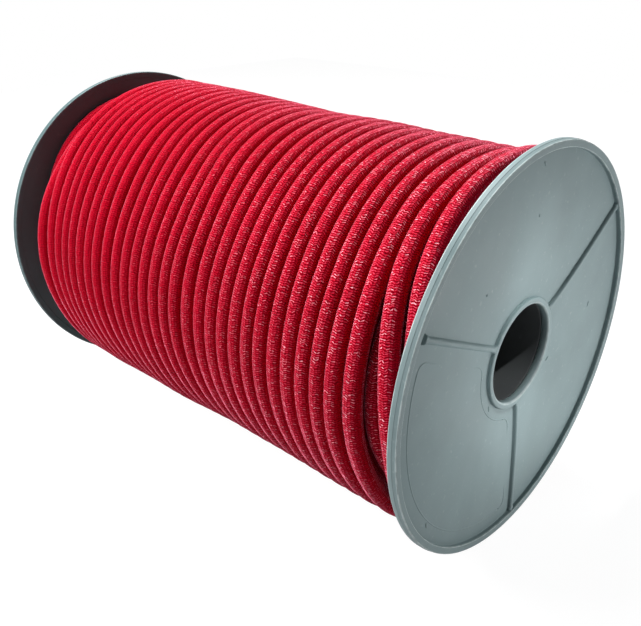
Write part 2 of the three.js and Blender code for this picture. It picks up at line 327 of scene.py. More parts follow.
class Graph:
    """A node tree, with short ways to add to it."""

    def __init__(self, tree):
        self.tree = tree

    def node(self, kind, inputs=(), **settings):
        node = self.tree.nodes.new(kind)
        for name, value in settings.items():
            setattr(node, name, value)
        for name, value in dict(inputs).items():
            self.feed(node.inputs[name], value)
        return node

    def feed(self, socket, value):
        if isinstance(value, bpy.types.NodeSocket):
            self.tree.links.new(value, socket)
        else:
            socket.default_value = value

    def math(self, operation, *values):
        return self.node("ShaderNodeMath", enumerate(values), operation=operation).outputs[0]

    def multiply(self, first, second):
        return self.math("MULTIPLY", first, second)

    def mix(self, share, low, high):
        return self.node("ShaderNodeMix", {0: share, 6: low, 7: high}, data_type="RGBA").outputs[2]

    def ramp(self, value, low, high, to_low=0.0, to_high=1.0):
        inputs = {"Value": value, "From Min": low, "From Max": high, "To Min": to_low, "To Max": to_high}
        return self.node("ShaderNodeMapRange", inputs).outputs["Result"]

    def band(self, value, middle, full, none):
        """1 up to one distance from a middle value, and 0 beyond another."""
        return self.ramp(self.math("ABSOLUTE", self.math("SUBTRACT", value, middle)), full, none, 1.0, 0.0)

    def place(self):
        return self.node("ShaderNodeTexCoord").outputs["Object"]

    def parts(self, vector):
        return self.node("ShaderNodeSeparateXYZ", {0: vector}).outputs

    def noise(self, scale, detail):
        inputs = {"Vector": self.place(), "Scale": scale, "Detail": detail}
        return self.node("ShaderNodeTexNoise", inputs).outputs["Fac"]

    def swing(self, scale, detail):
        """A noise about zero."""
        return self.math("SUBTRACT", self.noise(scale, detail), 0.5)

    def bump(self, height, distance, strength, normal=None):
        inputs = {"Height": height, "Distance": distance, "Strength": strength}
        if normal is not None:
            inputs["Normal"] = normal
        return self.node("ShaderNodeBump", inputs).outputs["Normal"]

    def sees_stage(self):
        """1 for the rays that see the white stage, and 0 for those that light the object."""
        light_path = self.node("ShaderNodeLightPath").outputs
        ray = self.math("MAXIMUM", light_path["Is Camera Ray"], light_path["Is Glossy Ray"])
        return self.math("MAXIMUM", ray, light_path["Is Transmission Ray"])


class Material(Graph):
    """A new material's node tree."""

    def __init__(self, name):
        self.material = bpy.data.materials.new(name)
        self.material.use_nodes = True
        super().__init__(self.material.node_tree)
        self.shader = self.tree.nodes["Principled BSDF"]

    def shade(self, inputs):
        for name, value in inputs.items():
            self.feed(self.shader.inputs[name], value)
        return self.material


def colour(red, green, blue):
    """An sRGB colour, written from 0 to 255, as the linear one that a shader takes."""
    linear = [((c / 255 + 0.055) / 1.055) ** 2.4 for c in (red, green, blue)]
    return (*linear, 1.0)


# Noises, each with its scale and its detail, and the spread of values that most of a noise has
MOTTLE = (35, 4.0)
CLOUD = (9, 2.0)
SCUFFS = (420, 6.0)
WEAR = (260, 3.0)
GRAIN = (1600, 2.0)
SINK = (22, 2.0)
SWELL = (70, 2.0)
PATCHES = (45, 3.0)
DUST = (900, 4.0)
SPREAD = (0.3, 0.7)

# Plastic: low, middle, high and scuffed tones; the scuffed tone also paints highlights on the worn edges
PALE_TONES = (colour(135, 156, 158), colour(149, 170, 172), colour(161, 182, 184), colour(200, 213, 213))
# The far flange: the same plastic's tones painted darker, as painted shade
FAR_SHADE_TONES = (colour(78, 103, 105), colour(85, 110, 112), colour(92, 117, 119), colour(114, 136, 138))
# The tube: the same plastic's tones painted darker, as painted shade in the bore
BORE_SHADE_TONES = (colour(70, 73, 74), colour(77, 80, 81), colour(83, 86, 87), colour(104, 108, 108))
SHADE_BLACK = colour(0, 0, 0)
# Painted shade: the plastic's colour is darkened from this radius out to the rim
SHADE_START_RADIUS = 40 * MM
RIM_PAINTED_SHADE = 0.35
CLOUD_RANGE = (0.35, 0.65)
CLOUD_SHARE = 0.4
SCUFF_RANGE = (0.62, 0.74)
SCUFF_SHARE = 0.25
PLASTIC_ROUGHNESS = (0.46, 0.58)
PLASTIC_SPECULAR = 0.22
# How deep each relief is, and its strength
GRAIN_RELIEF = (0.05 * MM, 0.25)
SINK_RELIEF = (3 * MM, 0.5)
SWELL_RELIEF = (0.3 * MM, 0.2)
# The worn edges, pale as wear and as painted highlights: how wide, how much of the pale tone shows, and over
# what depth each begins
EDGE_BAND = 0.35 * MM
WEAR_RANGE = (0.35, 0.6)
WEAR_SHARES = (0.3, 0.75)
RIM_SKIN = (RIM_RADIUS - 0.9 * MM, RIM_RADIUS - 0.6 * MM)
LIP_SKIN = (FACE - 1.2 * MM, FACE - 0.9 * MM)
HUB_SKIN = (HUB_FACE - 1.0 * MM, HUB_FACE - 0.5 * MM)


def worn_and_highlit_edges(g, along, radius):
    """Where handling has rubbed a flange pale, with painted highlights on the same edges: the rim's two
    edges, the lip's inner one and the bore's.
    """
    outward = g.math("ABSOLUTE", along)
    back = g.ramp(outward, RIM_BACK + EDGE_BAND, RIM_BACK + 2 * EDGE_BAND, 1.0, 0.0)
    front = g.ramp(outward, FACE - 2 * EDGE_BAND, FACE - EDGE_BAND)
    rim = g.multiply(g.ramp(radius, *RIM_SKIN), g.math("MAXIMUM", back, front))
    at_lip = g.band(radius, LIP_INNER_RADIUS, 0.5 * EDGE_BAND, EDGE_BAND)
    lip = g.multiply(at_lip, g.ramp(outward, *LIP_SKIN))
    at_bore = g.band(radius, BORE_RADIUS + EDGE_BAND, EDGE_BAND, 2 * EDGE_BAND)
    bore = g.multiply(at_bore, g.ramp(outward, *HUB_SKIN))
    worn_and_highlit = g.math("MAXIMUM", rim, g.math("MAXIMUM", lip, bore))
    return g.multiply(worn_and_highlit, g.ramp(g.noise(*WEAR), *WEAR_RANGE, *WEAR_SHARES))


def plastic_material(name, tones):
    """Satin moulded plastic, faintly mottled, with a fine grain, light scuffs, worn edges that also carry
    painted highlights, and painted shade darkening it towards the rim.
    """
    low, middle, high, scuffed_and_highlit = tones
    g = Material(name)
    parts = g.parts(g.place())
    side, rise = parts["Y"], g.math("SUBTRACT", parts["Z"], AXIS_HEIGHT)
    radius = g.math("SQRT", g.math("MULTIPLY_ADD", rise, rise, g.multiply(side, side)))
    mottle = g.noise(*MOTTLE)
    tone = g.mix(g.ramp(mottle, *SPREAD), low, middle)
    tone = g.mix(g.ramp(g.noise(*CLOUD), *CLOUD_RANGE, 0.0, CLOUD_SHARE), tone, high)
    tone = g.mix(g.ramp(g.noise(*SCUFFS), *SCUFF_RANGE, 0.0, SCUFF_SHARE), tone, scuffed_and_highlit)
    # Painted shade: the colour is darkened towards the rim
    tone = g.mix(g.ramp(radius, SHADE_START_RADIUS, RIM_RADIUS, 0.0, RIM_PAINTED_SHADE), tone, SHADE_BLACK)
    # Edges paled as wear and as painted highlights
    tone = g.mix(worn_and_highlit_edges(g, parts["X"], radius), tone, scuffed_and_highlit)
    grain = g.bump(g.noise(*GRAIN), *GRAIN_RELIEF)
    sink = g.bump(g.noise(*SINK), *SINK_RELIEF, grain)
    return g.shade({
        "Base Color": tone,
        "Roughness": g.ramp(mottle, *SPREAD, *PLASTIC_ROUGHNESS),
        "Specular IOR Level": PLASTIC_SPECULAR,
        "Normal": g.bump(g.noise(*SWELL), *SWELL_RELIEF, sink),
    })


# Sheath: the painted shade in the hollows between the floats, the yarn's two reds, the painted glints on the
# floats and the brightest painted glints
SHEATH_HOLLOW_SHADE = colour(90, 0, 10)
SHEATH_RED = colour(180, 0, 30)
SHEATH_BRIGHT = colour(190, 0, 38)
SHEATH_GLINT = colour(244, 88, 116)
SHEATH_GLINT_FLECK = colour(255, 200, 212)
SHEATH_ROUGHNESS = 0.8
SHEEN_TINT = colour(255, 145, 172)
SHEEN_WEIGHT = 0.95
SHEEN_ROUGHNESS = 0.3
BRIGHT_SHARE = 0.3
BRAID_RELIEF = (0.25 * MM, 0.8)
ROW_HEIGHT = 0.95 * MM
WALES_ROUND = 18.0
CROWN_SHARE = 0.65
# How far the floats lean, and how the rows and the wales wander
LEAN = 0.45
WANDER = 0.6
SLOW_DRIFT = (160, 2.0)
QUICK_DRIFT = (480, 1.0)
QUICK_SHARE = 2.6
SIDE_DRIFT = (420, 1.0)
SWAY = 1.2
# How high on a float, and how near its middle, the painted glint shows, and over what height the painted
# shade in the hollows gives way to the red
RIDGE_RANGE = (0.82, 1.0)
CROWN_RANGE = (0.1, 0.55)
HOLLOW_SHADE_RANGE = (0.0, 0.5)
# The painted glints fade from the busy place along the axis to the calm one
CALM_PLACE = -50 * MM
BUSY_PLACE = 112 * MM
CALM_SHARE = 0.16
# Where on the cord the painted glints show, as shares of the way round it from its outermost line
CREST_SHARE = 0.08
FLANK_SHARE = 0.17
OUTERMOST = 0.25
# From what chance a float gets a painted glint, or a brighter painted fleck, and how much of it shows
LIT_CHANCES = (0.0, 0.7)
LIT_SHARES = (0.25, 1.0)
SPECK_CHANCES = (0.65, 1.0)
SPECK_SHARES = (0.0, 0.9)


def sheath_material():
    """Braided sheath: rows of short floats nearly across the cord, leaning one way and the other, with
    painted glints on the floats and painted shade in the hollows between them.
    """
    g = Material("cord_sheath")
    uv = g.parts(g.node("ShaderNodeUVMap", uv_map="cord").outputs["UV"])
    drift = g.math("MULTIPLY_ADD", g.swing(*QUICK_DRIFT), QUICK_SHARE, g.swing(*SLOW_DRIFT))
    wales = g.math("MULTIPLY_ADD", uv["Y"], WALES_ROUND, g.multiply(g.swing(*SIDE_DRIFT), SWAY))
    wale = g.math("FLOOR", wales)
    across = g.math("FRACT", wales)
    side = g.math("MULTIPLY_ADD", g.math("FLOORED_MODULO", wale, 2.0), -2.0, 1.0)
    lean = g.multiply(g.multiply(side, g.math("SUBTRACT", across, 0.5)), LEAN)
    rows = g.math("ADD", g.math("DIVIDE", uv["X"], ROW_HEIGHT), lean)
    rows = g.math("MULTIPLY_ADD", drift, WANDER, rows)
    row = g.math("FLOOR", rows)
    ridge = g.math("SINE", g.multiply(g.math("FRACT", rows), math.pi))
    crown = g.math("SINE", g.multiply(across, math.pi))
    height = g.multiply(ridge, g.math("MULTIPLY_ADD", crown, CROWN_SHARE, 1 - CROWN_SHARE))
    key = g.node("ShaderNodeCombineXYZ", {"X": wale, "Y": row}).outputs[0]
    chance = g.node("ShaderNodeTexWhiteNoise", {"Vector": key}, noise_dimensions="3D").outputs["Value"]

    busy = g.ramp(g.parts(g.place())["X"], CALM_PLACE, BUSY_PLACE, CALM_SHARE, 1.0)
    # Painted glints: pale floats and flecks only on the band round the cord's outer crest
    glint_band = g.band(uv["Y"], OUTERMOST, CREST_SHARE, FLANK_SHARE)
    glint_thread = g.multiply(g.ramp(ridge, *RIDGE_RANGE), g.ramp(crown, *CROWN_RANGE))
    glint_thread = g.multiply(glint_thread, g.multiply(busy, glint_band))
    lit = g.multiply(glint_thread, g.ramp(chance, *LIT_CHANCES, *LIT_SHARES))
    glint_fleck = g.multiply(g.multiply(glint_thread, busy), g.ramp(chance, *SPECK_CHANCES, *SPECK_SHARES))
    # Painted shade in the hollows between the floats
    tone = g.mix(g.ramp(height, *HOLLOW_SHADE_RANGE), SHEATH_HOLLOW_SHADE, SHEATH_RED)
    tone = g.mix(g.ramp(g.noise(*PATCHES), *SPREAD, 0.0, BRIGHT_SHARE), tone, SHEATH_BRIGHT)
    tone = g.mix(lit, tone, SHEATH_GLINT)
    return g.shade({
        "Base Color": g.mix(glint_fleck, tone, SHEATH_GLINT_FLECK),
        "Roughness": SHEATH_ROUGHNESS,
        "Specular IOR Level": 0.0,
        "Sheen Weight": SHEEN_WEIGHT,
        "Sheen Roughness": SHEEN_ROUGHNESS,
        "Sheen Tint": SHEEN_TINT,
        "Normal": g.bump(height, *BRAID_RELIEF),
    })


RUBBER_TONES = (colour(196, 184, 160), colour(232, 223, 204))
RUBBER_ROUGHNESS = (0.5, 0.8)
DUST_RELIEF = (0.05 * MM, 0.4)


def rubber_material():
    """Pale rubber strands with a dull, dusty skin."""
    g = Material("cord_rubber")
    dust = g.noise(*DUST)
    return g.shade({
        "Base Color": g.mix(dust, *RUBBER_TONES),
        "Roughness": g.ramp(dust, *SPREAD, *RUBBER_ROUGHNESS),
        "Normal": g.bump(dust, *DUST_RELIEF),
    })


# Camera, floor and light

CAMERA_PLACE = (0.2657, -0.2626, 0.2455)
CAMERA_AZIMUTH = 43.35
CAMERA_PITCH = -25.57
CAMERA_LENS = 41.17
SENSOR_WIDTH = 36
CAMERA_CLIP = (0.01, 100)

FLOOR_HALF = 1.3
FLOOR_TONE = colour(184, 184, 186)
FLOOR_SHADOW_SHARE = 0.2
WHITE = (1, 1, 1, 1)
STAGE_GLOW = 1.2
WORLD_LIGHT = 0.09
WORLD_BACKDROP = 1.0

# Round lamps: name, place, target, width and power
SPOOL_MIDDLE = (0, 0, AXIS_HEIGHT)
LAMPS = (
    ("key", (-0.33, -0.54, 0.52), SPOOL_MIDDLE, 0.3, 6.6),
    ("top", (-0.45, 0.1, 1.1), SPOOL_MIDDLE, 0.6, 13.0),
    ("back", (-0.5, 0.30, 0.95), SPOOL_MIDDLE, 0.4, 8.2),
    ("end_fill", (0.40, 0.22, 0.025), (FACE, 0.03, AXIS_HEIGHT - 0.02), 0.07, 0.65),
    ("low_fill", (0.19, 0.05, 0.018), (FACE, 0.05, 0.05), 0.03, 0.010),
)
# A narrow lamp that reaches into the bore
SPOT_PLACE = (0.35, 0, 0.63)
SPOT_TARGET = (HUB_FACE, 0, AXIS_HEIGHT)
SPOT_DEGREES = 5.7
SPOT_BLEND = 0.7
SPOT_SOFTNESS = 0.01
SPOT_POWER = 7.4


def make_camera():
    data = bpy.data.cameras.new("camera")
    data.sensor_width = SENSOR_WIDTH
    data.lens = CAMERA_LENS
    data.clip_start, data.clip_end = CAMERA_CLIP
    camera = bpy.data.objects.new("camera", data)
    camera.location = CAMERA_PLACE
    camera.rotation_euler = (math.radians(90 + CAMERA_PITCH), 0, math.radians(CAMERA_AZIMUTH))
    bpy.context.scene.collection.objects.link(camera)
    bpy.context.scene.camera = camera


def stage_material(name, tone, shadow_share):
    """A stage that the camera sees as white, but for a share of the light and shadow that fall on it."""
    g = Material(name)
    g.tree.nodes.remove(g.shader)
    lit = g.node("ShaderNodeBsdfDiffuse", {"Color": tone}).outputs[0]
    glow = g.node("ShaderNodeEmission", {"Color": WHITE, "Strength": STAGE_GLOW}).outputs[0]
    seen = g.node("ShaderNodeMixShader", {0: shadow_share, 1: glow, 2: lit}).outputs[0]
    surface = g.node("ShaderNodeMixShader", {0: g.sees_stage(), 1: lit, 2: seen}).outputs[0]
    g.feed(g.tree.nodes["Material Output"].inputs["Surface"], surface)
    return g.material


def make_floor():
    half = FLOOR_HALF
    corners = [(-half, -half, 0), (half, -half, 0), (half, half, 0), (-half, half, 0)]
    floor = make_object("floor", corners, [(0, 1, 2, 3)], smooth=False)
    floor.data.materials.append(stage_material("floor", FLOOR_TONE, FLOOR_SHADOW_SHARE))


def make_world():
    """A white backdrop for the rays that see it, and a dim even light for the object."""
    world = bpy.data.worlds.new("studio")
    world.use_nodes = True
    bpy.context.scene.world = world
    g = Graph(world.node_tree)
    background = g.tree.nodes["Background"]
    level = g.node("ShaderNodeMix", {0: g.sees_stage(), 2: WORLD_LIGHT, 3: WORLD_BACKDROP}).outputs[0]
    g.feed(background.inputs["Color"], WHITE)
    g.feed(background.inputs["Strength"], level)


def place_lamp(data, place, target):
    """Puts a lamp at its place, turned to its target."""
    direction = np.array(target) - np.array(place)
    pitch = math.atan2(math.hypot(direction[0], direction[1]), -direction[2])
    lamp = bpy.data.objects.new(data.name, data)
    lamp.location = place
    lamp.rotation_euler = (pitch, 0, math.atan2(direction[1], direction[0]) - math.pi / 2)
    lamp.visible_camera = False
    bpy.context.scene.collection.objects.link(lamp)


def make_lights():
    for name, place, target, width, power in LAMPS:
        lamp = bpy.data.lights.new(name, "AREA")
        lamp.shape = "DISK"
        lamp.size = width
        lamp.energy = power
        place_lamp(lamp, place, target)
    spot = bpy.data.lights.new("bore_spot", "SPOT")
    spot.spot_size = math.radians(SPOT_DEGREES)
    spot.spot_blend = SPOT_BLEND
    spot.shadow_soft_size = SPOT_SOFTNESS
    spot.energy = SPOT_POWER
    place_lamp(spot, SPOT_PLACE, SPOT_TARGET)


# Spool

def rounded(corners):
    """A closed outline of (radius, place) points from corners (radius, place, fillet)."""
    outline = []
    for index, (radius, place, fillet) in enumerate(corners):
        here = np.array([radius, place])
        if fillet == 0:
            outline.append(here)
            continue
        before = unit(np.array(corners[index - 1][:2]) - here)
        after = unit(np.array(corners[(index + 1) % len(corners)][:2]) - here)
        half_angle = math.acos(np.clip(before @ after, -1, 1)) / 2
        turn = math.pi - 2 * half_angle
        reach = fillet / math.tan(half_angle)
        start, end = here + before * reach, here + after * reach
        middle = here + unit(before + after) * fillet / math.sin(half_angle)
        outline.append(start + before * CORNER_HOLD)
        for share in np.linspace(0, 1, CORNER_STEPS + 1):
            weight_start = math.sin((1 - share) * turn) / math.sin(turn)
            weight_end = math.sin(share * turn) / math.sin(turn)
            outline.append(middle + (start - middle) * weight_start + (end - middle) * weight_end)
        outline.append(end + after * CORNER_HOLD)
    return outline


def flange_outline():
    """The flange's section, from the bore's inner edge out along the back and in along the face."""
    return refine_web(rounded([
        (BORE_RADIUS, HUB_BACK, 0.0),
        (SOCKET_RADIUS, HUB_BACK, 0.0),
        (SOCKET_RADIUS, COLLAR_END, 0.3 * MM),
        (COLLAR_RADIUS, COLLAR_END, 0.5 * MM),
        (COLLAR_RADIUS, web_face(COLLAR_RADIUS) - WEB_THICKNESS, 0.8 * MM),
        (LIP_INNER_RADIUS, LIP_FOOT - LIP_THICKNESS, 0.1 * MM),
        (LIP_INNER_RADIUS, RIM_BACK, 0.1 * MM),
        (RIM_RADIUS, RIM_BACK, 0.5 * MM),
        (RIM_RADIUS, RIM_TAPER, 0.08 * MM),
        (RIM_RADIUS - RIM_STEP, RIM_TAPER + RIM_STEP, 0.05 * MM),
        (RIM_RADIUS - RIM_FALL, FACE, 0.3 * MM),
        (LIP_INNER_RADIUS, FACE - LIP_FACE_FALL, 0.25 * MM),
        (LIP_INNER_RADIUS, LIP_FOOT, WEB_OUTER_FILLET),
        (HUB_RING_RADIUS, HUB_RING_FOOT, WEB_INNER_FILLET),
        (HUB_RING_RADIUS, HUB_FACE, 0.7 * MM),
        (BORE_RADIUS, HUB_FACE, 1.0 * MM),
    ]))


def refine_web(outline):
    """Adds rings to the web's face, closer together where the ribs end."""
    inner, outer = HUB_RING_RADIUS + WEB_INNER_FILLET, LIP_INNER_RADIUS - WEB_OUTER_FILLET
    fine_inner, fine_outer = HUB_RING_RADIUS + HUB_RING_BAND, min(RIB_ENDS) - RIB_END_BAND
    by_lip, along_ribs, by_hub = WEB_RINGS
    rings = np.concatenate([
        np.linspace(outer, fine_outer, by_lip)[1:-1],
        np.linspace(fine_outer, fine_inner, along_ribs),
        np.linspace(fine_inner, inner, by_hub)[1:-1],
    ])
    for index, (here, there) in enumerate(zip(outline, outline[1:])):
        if here[0] > fine_outer > fine_inner > there[0] and min(here[1], there[1]) > HUB_BACK + MM:
            web = [np.array([radius, web_face(radius)]) for radius in rings]
            return outline[:index + 1] + web + outline[index + 1:]
    raise ValueError("the web's face isn't in the outline")


def rib_height(radius, offset, ends):
    """A rib's height above the web, by the radius, the offset from its middle and where it ends."""
    hub_flare = smoothstep(HUB_RING_RADIUS + RIB_FLARE_LENGTH, HUB_RING_RADIUS, radius)
    flare_end = np.minimum(ends, LIP_INNER_RADIUS)
    flare_start = flare_end - RIB_FLARE_LENGTH
    end_flare = smoothstep(flare_start, flare_end - RIB_FLARE_RISE * RIB_FLARE_LENGTH, radius)
    half_width = RIB_HALF_WIDTH + (RIB_HALF_FLARE - RIB_HALF_WIDTH) * np.maximum(hub_flare, end_flare)
    inward = half_width - np.abs(offset)
    wall = smoothstep(-RIB_EDGE, RIB_EDGE, inward)
    bevel = np.clip((inward - RIB_EDGE) / RIB_BEVEL, 0, 1)
    end = smoothstep(ends + RIB_EDGE, ends - RIB_EDGE, radius)
    return RIB_HEIGHT * (wall * (1 - RIB_BEVEL_SHARE) + bevel * RIB_BEVEL_SHARE) * end


def column_angles(radius):
    """The flange's columns at one radius: angles, offsets from a rib, and where that rib ends."""
    strip = np.linspace(-RIB_STRIP, RIB_STRIP, RIB_COLUMNS + 1)
    reach = math.asin(RIB_STRIP / radius)
    angles, offsets, ends = [], [], []
    next_ribs = RIB_ANGLES[1:] + [RIB_ANGLES[0] + FULL_TURN]
    for rib, next_rib, end in zip(RIB_ANGLES, next_ribs, RIB_ENDS):
        between = np.linspace(rib + reach, next_rib - reach, SECTOR_COLUMNS + 1)[1:-1]
        angles += [rib + math.asin(offset / radius) for offset in strip] + list(between)
        offsets += list(strip) + [RIB_STRIP] * len(between)
        ends += [end] * (len(strip) + len(between))
    return np.array(angles), np.array(offsets), np.array(ends)


def flange_shell():
    """The near flange's points, about the spool's axis, and its faces."""
    points = []
    for radius, place in flange_outline():
        angles, offsets, ends = column_angles(radius)
        along = np.full(len(angles), place)
        on_web = HUB_RING_RADIUS - RING_SLACK <= radius < LIP_INNER_RADIUS + RING_SLACK
        if on_web and place > web_face(radius) - FACE_SLACK:
            along = np.maximum(along, web_face(radius) + rib_height(radius, offsets, ends))
        points.append(np.stack([along, radius * np.cos(angles), radius * np.sin(angles)], axis=1))
    return np.concatenate(points), ring_faces(len(points), len(points[0]), closed=True)


def corner_arc(corner, before, after):
    """Points round one corner of the bead, from the side before it to the side after it."""
    here = np.array(corner)
    start = here + unit(np.array(before) - here) * BEAD_CORNER
    end = here + unit(np.array(after) - here) * BEAD_CORNER
    shares = np.linspace(0, 1, BEAD_CORNER_STEPS)[:, None]
    return start * (1 - shares)**2 + here * 2 * shares * (1 - shares) + end * shares**2


def bead_route():
    """The raised line round the sector between the second rib and the third, as (y, z) points."""
    first, last = RIB_ANGLES[1], RIB_ANGLES[2]
    angles_at = {
        radius: (first + math.asin(BEAD_MARGINS[0] / radius), last - math.asin(BEAD_MARGINS[1] / radius))
        for radius in (BEAD_INNER, BEAD_OUTER)
    }
    route = []
    for radius, other, ways in ((BEAD_OUTER, BEAD_INNER, (0, 1)), (BEAD_INNER, BEAD_OUTER, (1, 0))):
        start, end = (angles_at[radius][way] for way in ways)
        trim = math.copysign(BEAD_CORNER / radius, end - start)
        arc = np.linspace(start + trim, end - trim, BEAD_ARC_STEPS)
        points = np.stack([radius * np.cos(arc), radius * np.sin(arc)], axis=1)
        corners = [(radius * math.cos(angle), radius * math.sin(angle)) for angle in (start, end)]
        far_angles = [angles_at[other][way] for way in ways]
        beyond = [(other * math.cos(angle), other * math.sin(angle)) for angle in far_angles]
        route += list(corner_arc(corners[0], beyond[0], points[0]))
        route += list(points)
        route += list(corner_arc(corners[1], points[-1], beyond[1]))
    return np.array(route)


def bead_shell():
    """The raised line's points and faces, as one closed tube half sunk in the web."""
    route = bead_route()
    ahead = unit(np.roll(route, -1, axis=0) - np.roll(route, 1, axis=0))
    aside = np.stack([-ahead[:, 1], ahead[:, 0]], axis=1)
    level = web_face(np.linalg.norm(route, axis=1)) - BEAD_SINK
    points = []
    for angle in np.linspace(0, FULL_TURN, BEAD_SIDES, endpoint=False):
        flat = route + aside * BEAD_RADIUS * math.cos(angle)
        points.append(np.column_stack([level + BEAD_RADIUS * math.sin(angle), flat]))
    points = np.stack(points, axis=1).reshape(-1, 3)
    return points, ring_faces(len(route), BEAD_SIDES, closed=True)


def mark_shell(radius, angle, half_length, lean):
    """One low, rounded moulding mark, sunk by its half in the web or the hub ring."""
    face = HUB_RING_FOOT if radius < HUB_MARK_RADIUS else web_face(radius)
    middle = np.array([face, radius * math.cos(angle), radius * math.sin(angle)])
    along = np.array([0, math.cos(angle + lean), math.sin(angle + lean)])
    across = np.array([0, -math.sin(angle + lean), math.cos(angle + lean)])
    pole = np.array([MARK_HEIGHT, 0, 0])
    points = [middle - pole]
    for ring in range(1, MARK_RINGS + 1):
        tilt = math.pi * ring / (MARK_RINGS + 1)
        for turn in np.linspace(0, FULL_TURN, MARK_COLUMNS, endpoint=False):
            sideways = along * half_length * math.cos(turn) + across * MARK_HALF_WIDTH * math.sin(turn)
            points.append(middle - pole * math.cos(tilt) + sideways * math.sin(tilt))
    points.append(middle + pole)
    # These rings run out of the web, so their faces are turned over
    faces = [tuple(reversed(face)) for face in ring_faces(MARK_RINGS, MARK_COLUMNS, first=1)]
    last = len(points) - 1
    last_ring = last - MARK_COLUMNS
    for column in range(MARK_COLUMNS):
        following = (column + 1) % MARK_COLUMNS
        faces.append((0, 1 + following, 1 + column))
        faces.append((last_ring + column, last_ring + following, last))
    return np.array(points), faces


def with_shells(points, faces, shells):
    """Joins further closed shells to a mesh's points and faces."""
    points, faces = list(points), list(faces)
    for more_points, more_faces in shells:
        first = len(points)
        points += list(more_points)
        faces += [tuple(first + index for index in face) for face in more_faces]
    return np.array(points), faces


def make_flanges(pale, far_shaded):
    marks = [
        mark_shell(radius * MM, math.radians(degrees), length * MM / 2, math.radians(lean))
        for radius, degrees, length, lean in MARKS
    ]
    points, faces = with_shells(*flange_shell(), [bead_shell(), *marks])
    near = make_object("near_flange_moulding", raise_axis(points), faces)
    far = make_object("far_flange_moulding", raise_axis(points * np.array([-1, -1, 1])), faces)
    add_piece(near, "spool_plastic", pale, "near_flange")
    # The far flange takes the darker copy of the plastic, as painted shade
    add_piece(far, "spool_plastic", far_shaded, "far_flange")


def revolve(name, outline, columns):
    """A closed solid from a closed outline of (radius, place) points."""
    angles = np.linspace(0, FULL_TURN, columns, endpoint=False)
    points = np.array([
        (place, radius * math.cos(angle), radius * math.sin(angle))
        for radius, place in outline for angle in angles
    ])
    return make_object(name, raise_axis(points), ring_faces(len(outline), columns, closed=True))


def make_tube(plastic):
    outline = rounded([
        (BORE_RADIUS, -TUBE_END, TUBE_EDGE),
        (TUBE_RADIUS, -TUBE_END, TUBE_EDGE),
        (TUBE_RADIUS, TUBE_END, TUBE_EDGE),
        (BORE_RADIUS, TUBE_END, TUBE_EDGE),
    ])
    tube = revolve("core_tube_moulding", outline, TUBE_COLUMNS)
    add_piece(tube, "spool_plastic", plastic, "core_tube")


# Winding

def ripple(seed, count, reach):
    """A smooth, repeatable wobble of about the reach given, by the place along the axis and the angle."""
    random = np.random.default_rng(seed)
    waves = [
        (
            random.uniform(*RIPPLE_RATES) * FULL_TURN / RIPPLE_SPAN,
            random.integers(*RIPPLE_TURNS),
            random.uniform(0, FULL_TURN),
        )
        for _ in range(count)
    ]

    def at(x, angle):
        total = sum(np.sin(rate * x + turns * angle + phase) for rate, turns, phase in waves)
        return reach * total / math.sqrt(count)

    return at


SIDE_RIPPLE = ripple(seed=3, count=5, reach=0.35 * MM)
HEIGHT_RIPPLE = ripple(seed=8, count=6, reach=0.3 * MM)


def outer_route(turn):
    """The middle of the cord along the axis in the near climb and the outer layer."""
    start_turn, start_x = NEAR_ROUTE[-1][0], NEAR_ROUTE[-1][1] * MM
    end_x = (RUBBER_LOW.x + RUBBER_HIGH.x) / 2
    mean = (start_x - end_x) / sum(TURN_WIDTH_SHARES)
    keys = [(place, x * MM) for place, x in NEAR_ROUTE]
    x = start_x
    for index, share in enumerate(TURN_WIDTH_SHARES):
        x -= mean * share
        keys.append((start_turn + index + 1, x))
    keys.append((TAIL_TURN, end_x))
    keys.append((TAIL_TURN + 1, end_x - CORD_DIAMETER))
    return through(keys, turn)


def stray(x, angle):
    """How far a turn lies from its even place along the axis."""
    degrees = (np.degrees(angle) - STRAY_FROM) % 360 + STRAY_FROM
    place = x / MM
    by_angle = through(STRAY_SHARES, place) * through(STRAY_BY_ANGLE, degrees)
    at_front = through(FRONT_SHARES, place) * through(FRONT_STRAY, degrees)
    return (by_angle + at_front + through(STRAY_BY_PLACE, place)) * MM


class Strand:
    """A stretch of wound cord: its middle line, and the half widths and heights of its section."""

    def __init__(self, turn, x, level, widths):
        angle = START_ANGLE - turn * FULL_TURN
        x = x + SIDE_RIPPLE(x, angle) * smoothstep(*SIDE_SETTLES, turn) + stray(x, angle)
        radius = wound_radius(x, angle) - CORD_RADIUS + level * LAYER_DEPTH
        radius = radius + HEIGHT_RIPPLE(x, angle) * smoothstep(*HEIGHT_SETTLES, turn)
        self.to_far, self.to_near, self.tall = widths
        self.middle = np.stack([x, radius * np.cos(angle), radius * np.sin(angle)], axis=1)
        self.along = unit(np.gradient(self.middle, axis=0))
        outward = np.stack([np.zeros_like(angle), np.cos(angle), np.sin(angle)], axis=1)
        self.across = unit(np.cross(outward, self.along))
        self.out = np.cross(self.along, self.across)
        steps = np.linalg.norm(np.diff(self.middle, axis=0), axis=1)
        self.run = np.concatenate([[0], np.cumsum(steps)])


def section_widths(x, level):
    """Each section's half widths towards the turns beside it, and its half height."""
    widest, narrowest = CORD_RADIUS * SECTION_WIDEST, CORD_RADIUS * SECTION_NARROWEST
    gap = np.abs(x[:-OUTER_STEPS] - x[OUTER_STEPS:]) / 2
    level_gap = np.abs(level[:-OUTER_STEPS] - level[OUTER_STEPS:])
    gap = np.clip(np.where(level_gap > LEVELS_APART, widest, gap), narrowest, widest)
    to_near = np.full(len(x), widest)
    to_far = np.full(len(x), widest)
    to_near[OUTER_STEPS:] = gap
    to_far[:-OUTER_STEPS] = gap
    squeeze = CORD_RADIUS / ((to_near + to_far) / 2)
    tall = CORD_RADIUS * np.clip(squeeze ** SECTION_GIVE, *SECTION_HEIGHTS)
    return to_far, to_near, tall


